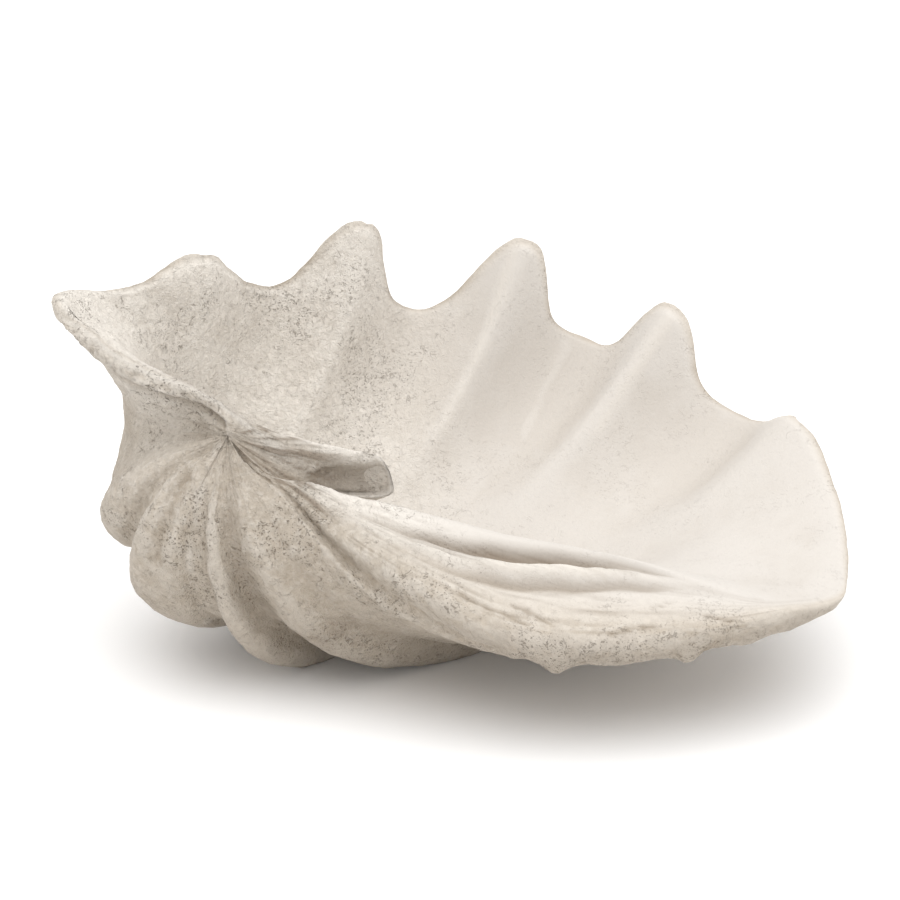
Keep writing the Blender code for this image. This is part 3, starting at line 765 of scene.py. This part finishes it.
def edge_detail(layout, lumps):
    """Rolled, ragged outer edge of the rim on the hinge side, with a groove under it (mm)."""
    start = station_index("hinge_2")
    along = window(layout.stations, start, start + 1.0, PERIOD - 0.6, PERIOD)
    roll = bell(layout.across, *ROLLED_PLACE)
    least, more = ROLLED_RAGGED
    ragged = least + more * lumps[layout.band].reshape(BAND_ROWS, layout.loop)
    height = layout.band_values(ROLLED_EDGE * roll[:, None] * along[None, :] * ragged)
    sheet = layout.sheet(height, layout.outside)
    reach = window(layout.rows, 0.25, 0.4, 0.9, 1.0)
    for j in range(UNDER_COLUMNS):
        sheet[:, j] -= UNDER_EDGE * bell(j, *UNDER_PLACE) * reach
    return height


def plate_fibres(layout):
    """Fine lines that run along the hinge plate, from about -1 to 1."""
    across, stations = layout.across, layout.stations
    grid = np.meshgrid(across * FIBRES_ACROSS, stations * FIBRES_ALONG, [0.0], indexing="ij")
    lines = fractal(np.stack(grid, axis=-1).reshape(-1, 3), 1.0 / MM, 3, 57.0)
    start = station_index("corner")
    along = window(stations, start + 0.5, start + 2.0, start + 9.0, start + 10.0)
    share = window(across, 0.35, 0.5, 0.97, 1.0)[:, None] * along[None, :]
    return layout.band_values(lines * share.ravel())


def hollow_shade(points, layout):
    """Share of the painted shade in the hollow in the front of the tongue."""
    band = points[layout.band].reshape(BAND_ROWS, layout.loop, 3)
    return layout.band_values(tongue_hollow(band, layout.stations, layout.across) / (HOLLOW_DEPTH * MM))


def edge_paint(layout, lumps):
    """Painted shade in grooves, on the lip's face and under the rim; painted highlight on ridges; the hinge's
    rim worn white.
    """
    across, stations, band = layout.across, layout.stations, layout.band
    lift = plate_lift(stations, across)
    # painted shade in the plate's grooves, standing in for their depth
    shade_and_stain = layout.band_values(np.clip(-lift / GROOVE_SHADE_DEPTH, 0.0, 1.0))
    start = station_index("tongue_tip")
    along = window(stations, start, start + 1.0, PERIOD - 0.5, PERIOD)
    rim = bell(across, *WORN_RIM)[:, None] * along[None, :]
    # the hinge's rim worn white, and painted highlight on the plate's ridges
    crest = layout.band_values(np.clip(rim + np.clip(lift / RIDGE_HIGHLIGHT_HEIGHT, 0.0, RIDGE_HIGHLIGHT), 0.0, 1.0))
    # painted shade on the lip's face, which faces front and down
    corner = station_index("corner")
    face = window(stations, corner - 0.3, corner + 0.6, corner + 5.0, corner + 7.0)
    face = (1 - ease(across, 0.40, 0.62))[:, None] * face[None, :]
    face = FACE_PAINTED_SHADE * face.ravel() * np.clip(1.0 + lumps[band], 0.3, 1.6)
    shade_and_stain[band] = np.maximum(shade_and_stain[band], face)
    # painted shadow in the groove under the rolled rim
    sheet = layout.sheet(shade_and_stain, layout.outside)
    reach = window(layout.rows, 0.2, 0.35, 0.92, 1.0)
    for j in range(UNDER_SHADOW_COLUMNS):
        sheet[:, j] = UNDER_RIM_SHADOW * bell(j, *UNDER_SHADOW_PLACE) * reach
    shade_and_stain[layout.outside] *= np.clip(0.7 + lumps[layout.outside], 0.0, 1.0)
    return shade_and_stain, crest


def line_distance(points, course):
    """Distance in millimetres of every point from a line through the given places."""
    distance = np.full(len(points), 1e6)
    for start, end in zip(course[:-1], course[1:]):
        a = np.array(start, float)
        along = np.array(end, float) - a
        t = np.clip((points / MM - a) @ along / (along @ along), 0.0, 1.0)
        distance = np.minimum(distance, np.linalg.norm(points / MM - a - t[:, None] * along, axis=1))
    return distance


def lip_shift(layout):
    """Small knobs that hang from the lower edge of the lip, and the outside behind it drawn up."""
    shift = np.zeros((layout.count, 3))
    drop = np.zeros(layout.loop)
    for station, width, high in KNOBS:
        drop = drop + high * bell(layout.stations, station, width)
    band = bell(layout.across, 0.0, KNOB_ROWS)
    shift[layout.band, 2] = -(band[:, None] * drop[None, :]).ravel() * MM
    lip = drop[COLUMNS + 1:COLUMNS + ROWS]
    sheet = np.zeros((ROWS, COLUMNS + 1))
    lifted = window(layout.rows, *LIFT_ROWS)
    for back in range(LIFT_COLUMNS[-1]):
        sheet[:, COLUMNS - back] = -LIP_LIFT * lifted * window(back, *LIFT_COLUMNS)
        sheet[ROWS - 2::-1, COLUMNS - back] += lip * bell(back, 0.0, KNOB_COLUMNS)
    shift[layout.outside, 2] -= sheet.ravel() * MM
    return shift


def flank_share(points):
    """1 in the middle of the flank below the left end, 0 away from it."""
    middle, reach, _ = FLANK
    away = np.linalg.norm(points - np.array(middle) * MM, axis=1) / (reach * MM)
    return np.exp(-away ** 2)


def umbo_distance(points):
    """Distance of every point from the umbo (mm)."""
    x, y, z = (points / MM).T
    return np.sqrt(x * x + y * y + z * z)


def streak_lines(points):
    """Noise drawn out along the lines that run together at the umbo."""
    x, y, z = (points / MM).T
    turn = np.arctan2(z, x) * STREAK_COUNT
    tilt = np.arctan2(y, np.hypot(x, z)) * STREAK_COUNT
    places = np.stack([turn, tilt, umbo_distance(points) * STREAK_LENGTH], axis=1)
    return fractal(places, 1.0 / MM, 4, 41.0)


def streak_share(points, inner, lines):
    """Brown of the streaks, strongest on the wedge below the rim of the hinge."""
    x, _, z = (points / MM).T
    near = 1 - ease(umbo_distance(points), *STREAK_NEAR)
    wedge = window(x, *WEDGE_X) * window(z, *WEDGE_Z) * window(inner, 0.02, 0.1, 0.9, 1.0)
    tone = (0.12 + 0.88 * ease(lines, -0.3, 0.6)) * (STREAK_NEAR_TONE * near + WEDGE_TONE * wedge)
    return np.clip(tone, 0.0, WEDGE_TONE)


def hollow_depth(smoother, rougher, normals, full):
    """How far the rougher surface lies under the smoother one, from -1 to 1."""
    return np.clip(np.einsum("ij,ij->i", smoother - rougher, normals) / (full * MM), -1, 1)


def shell_mesh():
    """The shell's mesh with its worn relief, and the shares that its material reads."""
    outside, band, inside, pole, stations = shell_points()
    layout = Layout(stations)
    points = np.concatenate([
        np.zeros((1, 3)), outside.reshape(-1, 3), band.reshape(-1, 3), pole[None], inside.reshape(-1, 3),
    ])
    faces = shell_faces(layout)
    mesh = bpy.data.meshes.new("clam_shell_surface")
    mesh.from_pydata(points.tolist(), [], faces)
    mesh.update()
    normals = mesh_normals(mesh)
    edges = neighbours(faces)
    points = points + (smoothed(points, edges, RIM_PASSES) - points) * rim_share(layout)[:, None]
    # how far each point has gone from the outside (0) to the inside (1), and how rough it is there
    inner = np.zeros(layout.count)
    inner[layout.band] = np.repeat(layout.across, layout.loop)
    inner[layout.pole:] = 1.0
    rough = roughness_share(points, inner)
    # relief
    lines = streak_lines(points)
    streaks = streak_share(points, inner, lines)
    noises = (SWELL, LUMPS, GRIT)
    swell, lumps, grit = (fractal(points, length, octaves, part) for length, _, octaves, part in noises)
    height = SWELL[1] * swell * (SMOOTH_SWELL + (1 - SMOOTH_SWELL) * rough)
    height = height + LUMPS[1] * lumps * rough + GRIT[1] * grit * rough
    height = height + STREAK_RELIEF * lines * (1 - ease(umbo_distance(points), *STREAK_REACH))
    height = height + edge_detail(layout, lumps)
    fibres = plate_fibres(layout)
    height = height + PLATE_FIBRES * fibres
    shade = hollow_shade(points, layout)
    wander = MARK_WANDER * grit
    marks = [bell(line_distance(points, course), -wander, width) for course, width, _, _ in MARKS]
    for mark, (_, _, high, _) in zip(marks, MARKS):
        height = height + high * mark
    points = points + normals * (height * MM)[:, None]
    worn_flank = flank_share(points + np.array(FLANK_WORN_OFFSET) * MM)
    points = points + lip_shift(layout)
    points[:, 0] -= FLANK[2] * MM * flank_share(points)
    points = points - np.array(ORIGIN) * MM
    points[:, 2] = np.maximum(points[:, 2], 0.0)
    mesh.vertices.foreach_set("co", points.astype(np.float32).ravel())
    mesh.update()
    # shares for the material
    normals = mesh_normals(mesh)
    fine = smoothed(points, edges, FINE_HOLLOW[0])
    coarse = smoothed(fine, edges, BROAD_HOLLOW[0])
    # dark share: stains and painted shade; light share: wear and painted highlights
    shade_and_stain, crest = edge_paint(layout, lumps)
    crest = np.maximum(crest, FLANK_WORN * worn_flank)
    shade_and_stain = np.maximum(shade_and_stain, np.clip(-0.5 * fibres, 0.0, FIBRE_STAIN))
    # painted shade in the tongue's hollow
    shade_and_stain = np.maximum(shade_and_stain, TONGUE_HOLLOW_SHADE * shade)
    # marks: painted shade in rib grooves, painted highlights on crests and flutes, darker chips
    for mark, (_, _, _, tone) in zip(marks, MARKS):
        shade_and_stain = np.maximum(shade_and_stain, -tone * mark)
        crest = np.maximum(crest, tone * mark)
    for name, values in (
        ("hollow", hollow_depth(fine, points, normals, FINE_HOLLOW[1])),
        ("basin", hollow_depth(coarse, fine, normals, BROAD_HOLLOW[1])),
        ("inner", inner), ("rough", rough), ("streaks", streaks), ("shade_and_stain", shade_and_stain), ("crest", crest),
    ):
        attribute = mesh.attributes.new(name, "FLOAT", "POINT")
        attribute.data.foreach_set("value", np.asarray(values, np.float32))
    mesh.shade_smooth()
    return mesh


class Nodes:
    """Short calls for building a material's nodes."""

    def __init__(self, name):
        self.material = bpy.data.materials.new(name)
        self.material.use_nodes = True
        self.tree = self.material.node_tree

    def fill(self, node, inputs):
        """Links each input to its value, or sets it."""
        for name, value in inputs.items():
            if isinstance(value, bpy.types.NodeSocket):
                self.tree.links.new(value, node.inputs[name])
            else:
                node.inputs[name].default_value = value

    def surface(self, inputs):
        """The material, once its surface has these inputs."""
        self.fill(self.tree.nodes["Principled BSDF"], inputs)
        return self.material

    def make(self, kind, output, inputs, **settings):
        """One output of a new node of this kind."""
        node = self.tree.nodes.new(kind)
        for name, value in settings.items():
            setattr(node, name, value)
        self.fill(node, inputs)
        return node.outputs[output]

    def value(self, name):
        """One of the mesh's stored shares."""
        return self.make("ShaderNodeAttribute", "Fac", {}, attribute_name=name)

    def math(self, operation, a, b=0.0):
        return self.make("ShaderNodeMath", 0, {0: a, 1: b}, operation=operation)

    def product(self, a, b):
        return self.math("MULTIPLY", a, b)

    def ramp(self, value, low, high, start=0.0, end=1.0):
        """Smooth step of the value, from start at low to end at high."""
        inputs = {"Value": value, "From Min": low, "From Max": high, "To Min": start, "To Max": end}
        return self.make("ShaderNodeMapRange", "Result", inputs, interpolation_type="SMOOTHSTEP")

    def mix(self, share, a, b):
        """Colour a with this share of colour b."""
        return self.make("ShaderNodeMix", 2, {0: share, 6: a, 7: b}, data_type="RGBA")

    def noise(self, where, scale, detail, rough, distortion, offset=None):
        inputs = {"Scale": scale, "Detail": detail, "Roughness": rough, "Distortion": distortion}
        inputs["Vector"] = self.shifted(where, offset) if offset else where
        return self.make("ShaderNodeTexNoise", "Fac", inputs)

    def cells(self, where, scale):
        """Distance from the middle of the nearest cell."""
        return self.make("ShaderNodeTexVoronoi", "Distance", {"Vector": where, "Scale": scale})

    def bent(self, where, scale, reach):
        """The place moved about by a noise, so that cells on it are drawn out."""
        drift = self.make("ShaderNodeTexNoise", "Color", {"Vector": where, "Scale": scale, "Detail": 1.0})
        inputs = {0: drift, 1: (reach, reach, reach), 2: where}
        return self.make("ShaderNodeVectorMath", "Vector", inputs, operation="MULTIPLY_ADD")

    def shifted(self, where, offset):
        return self.make("ShaderNodeMapping", "Vector", {"Vector": where, "Location": offset})


# Colours of the shell, linear. The warm colour is also painted shade in hollows and low on the outside, the
# stain colour also painted shade in grooves, the worn colour also painted highlight on ridges and crests.
CHALK = (0.525, 0.463, 0.388, 1.0)
WORN_AND_HIGHLIGHT = (0.69, 0.64, 0.575, 1.0)
PEARL = (0.582, 0.547, 0.508, 1.0)
CREAM = (0.82, 0.767, 0.696, 1.0)
WARM = (0.38, 0.316, 0.245, 1.0)
STAIN_AND_SHADE = (0.20, 0.152, 0.107, 1.0)

# Noises of the material: scale, detail, roughness, distortion and offset.
PATCHES = (17.0, 4.0, 0.6, 0.4)
MOTTLE = (95.0, 7.0, 0.72, 0.3, (3.1, 1.7, 0.4))
SPECKLE = (420.0, 3.0, 0.6, 0.6, (6.0, 1.0, 2.0))
RIPPLE = (190.0, 2.0, 0.5, 0.7, (5.0, 2.0, 8.0))
CUTS = (230.0, 2.0, 0.55, 0.0, (1.0, 7.0, 3.0))
CLUSTERS = (26.0, 4.0, 0.55, 0.0, (9.0, 4.0, 1.0))
GRAIN = (900.0, 3.0, 0.6, 0.0)
KNOBBLES = (230.0, 6.0, 0.70, 0.8, (7.0, 7.0, 7.0))

# Pits: scale and reach of the noise that bends their cells; scale of the cells and the distances
# outside and inside a pit; offset of the small ones.
PIT_BEND = (300.0, 0.0016)
LARGE_PITS = (330.0, 0.24, 0.10)
SMALL_PITS = (700.0, 0.28, 0.12)
SMALL_PIT_OFFSET = (2.0, 2.0, 2.0)

# How much of the dark colour the painted shade and stains of the grooves take, and the pits and fibre marks;
# the heights (m) between which the outside gets painted shade towards the floor.
SHADE_AND_STAIN_SHARE = 0.85
MARK_STAIN = 0.62
LOW_SHADE_HEIGHTS = (0.15, 0.02)


def material_marks(n, where, rough, inner):
    """Share of pits and short fibre marks."""
    # fibre marks: thin lines where a noise crosses its middle, cut up by another
    crossing = n.math("ABSOLUTE", n.math("SUBTRACT", n.noise(where, *RIPPLE), 0.5))
    fibres = n.product(n.ramp(crossing, 0.030, 0.006), n.ramp(n.noise(where, *CUTS), 0.54, 0.62))
    # pits in clusters, drawn out by a bent grid of cells
    clusters = n.ramp(n.noise(where, *CLUSTERS), 0.44, 0.64)
    bent = n.bent(where, *PIT_BEND)
    small = n.shifted(bent, SMALL_PIT_OFFSET)
    pits = []
    for place, (scale, outside, inside) in ((bent, LARGE_PITS), (small, SMALL_PITS)):
        pits.append(n.product(n.ramp(n.cells(place, scale), outside, inside), clusters))
    strokes = n.product(fibres, n.ramp(clusters, 0.0, 0.6, 0.35, 1.0))
    marks = n.product(n.math("MAXIMUM", n.math("MAXIMUM", *pits), strokes), rough)
    return n.product(marks, n.ramp(inner, 0.5, 0.9, 1.0, 0.75))


def material_colour(n, where, marks, speckle, rough, inner):
    """Chalky outside, pearly bowl, painted shade in hollows, grooves and low down, worn crests with painted
    highlights, and stains.
    """
    worn = n.product(rough, n.ramp(inner, 0.5, 0.9, 1.0, 0.28))
    basin = n.value("basin")
    hollow = n.value("hollow")
    base = n.mix(n.ramp(inner, 0.48, 0.98), CHALK, n.mix(rough, PEARL, CREAM))
    # value that shows a tone, where it comes in, its strength and its colour
    for value, low, high, strength, colour in (
        (n.noise(where, *PATCHES), 0.42, 0.72, n.product(worn, 0.20), WARM),
        (n.noise(where, *MOTTLE), 0.46, 0.70, n.product(worn, 0.34), WARM),
        (speckle, 0.50, 0.72, n.product(worn, 0.34), WARM),
        (speckle, 0.50, 0.30, n.product(rough, 0.40), WORN_AND_HIGHLIGHT),
        # painted shade: broad and fine hollows warmer and darker; convex places worn lighter
        (basin, 0.1, 1.0, n.ramp(inner, 0.5, 1.0, 0.55, 0.05), WARM),
        (hollow, 0.10, 1.0, n.ramp(inner, 0.5, 0.9, 0.45, 0.12), WARM),
        (hollow, -0.1, -1.0, n.ramp(inner, 0.5, 0.9, 0.45, 0.05), WORN_AND_HIGHLIGHT),
    ):
        base = n.mix(n.product(n.ramp(value, low, high), strength), base, colour)
    # painted shade: the outside gets warmer and darker towards the floor
    up = n.make("ShaderNodeSeparateXYZ", "Z", {0: where})
    low_shade = n.product(n.ramp(up, *LOW_SHADE_HEIGHTS), n.ramp(inner, 0.0, 0.4, 0.50, 0.0))
    # worn crests with painted highlights, then stains and painted shade in grooves and marks
    for share, colour in (
        (low_shade, WARM), (n.value("crest"), WORN_AND_HIGHLIGHT), (n.value("streaks"), STAIN_AND_SHADE),
        (n.product(n.value("shade_and_stain"), SHADE_AND_STAIN_SHARE), STAIN_AND_SHADE), (n.product(marks, MARK_STAIN), STAIN_AND_SHADE),
    ):
        base = n.mix(share, base, colour)
    return base


def material_relief(n, where, marks, speckle, rough):
    """Normal with the relief that is finer than the mesh."""
    height = n.math("ADD", n.product(n.noise(where, *GRAIN), 0.10), n.noise(where, *KNOBBLES))
    height = n.math("SUBTRACT", height, n.product(speckle, 0.45))
    height = n.math("SUBTRACT", n.product(height, rough), n.product(marks, 0.5))
    return n.make("ShaderNodeBump", "Normal", {"Strength": 0.9, "Distance": 0.0028, "Height": height})


def shell_material():
    n = Nodes("chalky_shell")
    where = n.make("ShaderNodeTexCoord", "Object", {})
    rough = n.value("rough")
    inner = n.value("inner")
    speckle = n.noise(where, *SPECKLE)
    marks = material_marks(n, where, rough, inner)
    colour = material_colour(n, where, marks, speckle, rough, inner)
    normal = material_relief(n, where, marks, speckle, rough)
    return n.surface({"Base Color": colour, "Roughness": 0.82, "Specular IOR Level": 0.35, "Normal": normal})


def clam_shell():
    shell = bpy.data.objects.new("clam_shell_surface", shell_mesh())
    bpy.context.scene.collection.objects.link(shell)
    shell.data.materials.append(shell_material())
    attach(shell, "root")
    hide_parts("clam_shell")


def floor():
    half = 6.0
    mesh = bpy.data.meshes.new("floor")
    corners = [(-half, -half, 0), (half, -half, 0), (half, half, 0), (-half, half, 0)]
    mesh.from_pydata(corners, [], [(0, 1, 2, 3)])
    plane = bpy.data.objects.new("floor", mesh)
    bpy.context.scene.collection.objects.link(plane)
    white = {"Base Color": (0.94, 0.935, 0.93, 1.0), "Roughness": 0.9, "Specular IOR Level": 0.2}
    mesh.materials.append(Nodes("white_floor").surface(white))


def studio():
    world = bpy.data.worlds.new("studio")
    world.use_nodes = True
    background = world.node_tree.nodes["Background"]
    background.inputs["Color"].default_value = (1.0, 1.0, 1.0, 1.0)
    background.inputs["Strength"].default_value = 1.0
    bpy.context.scene.world = world
    bpy.context.scene.view_settings.view_transform = "Standard"
    light = bpy.data.lights.new("key", "SUN")
    light.energy = 1.7
    light.angle = math.radians(75.0)
    lamp = bpy.data.objects.new("key", light)
    bpy.context.scene.collection.objects.link(lamp)
    lamp.rotation_mode = "QUATERNION"
    ahead = Vector((-0.06, 0.24, -1.0))
    lamp.rotation_quaternion = ahead.to_track_quat("-Z", "Y")


def camera():
    tilt = math.radians(CAMERA_TILT)
    ahead = Vector((0.0, math.cos(tilt), -math.sin(tilt)))
    target = (Vector(CAMERA_TARGET) - Vector(ORIGIN)) * MM
    data = bpy.data.cameras.new("camera")
    data.sensor_width = SENSOR
    data.lens = PIXELS_PER_METRE * CAMERA_DISTANCE / IMAGE_SIDE * SENSOR
    data.clip_end = 50.0
    eye = bpy.data.objects.new("camera", data)
    bpy.context.scene.collection.objects.link(eye)
    eye.location = target - ahead * CAMERA_DISTANCE
    eye.rotation_mode = "QUATERNION"
    eye.rotation_quaternion = ahead.to_track_quat("-Z", "Y")
    bpy.context.scene.camera = eye


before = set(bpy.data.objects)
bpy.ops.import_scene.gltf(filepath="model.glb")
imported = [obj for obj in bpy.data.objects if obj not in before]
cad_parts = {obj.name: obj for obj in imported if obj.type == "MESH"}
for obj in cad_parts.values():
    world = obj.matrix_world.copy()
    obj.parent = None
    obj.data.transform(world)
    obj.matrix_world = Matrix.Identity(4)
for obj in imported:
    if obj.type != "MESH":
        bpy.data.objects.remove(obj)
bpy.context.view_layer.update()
camera()
clam_shell()
floor()
studio()
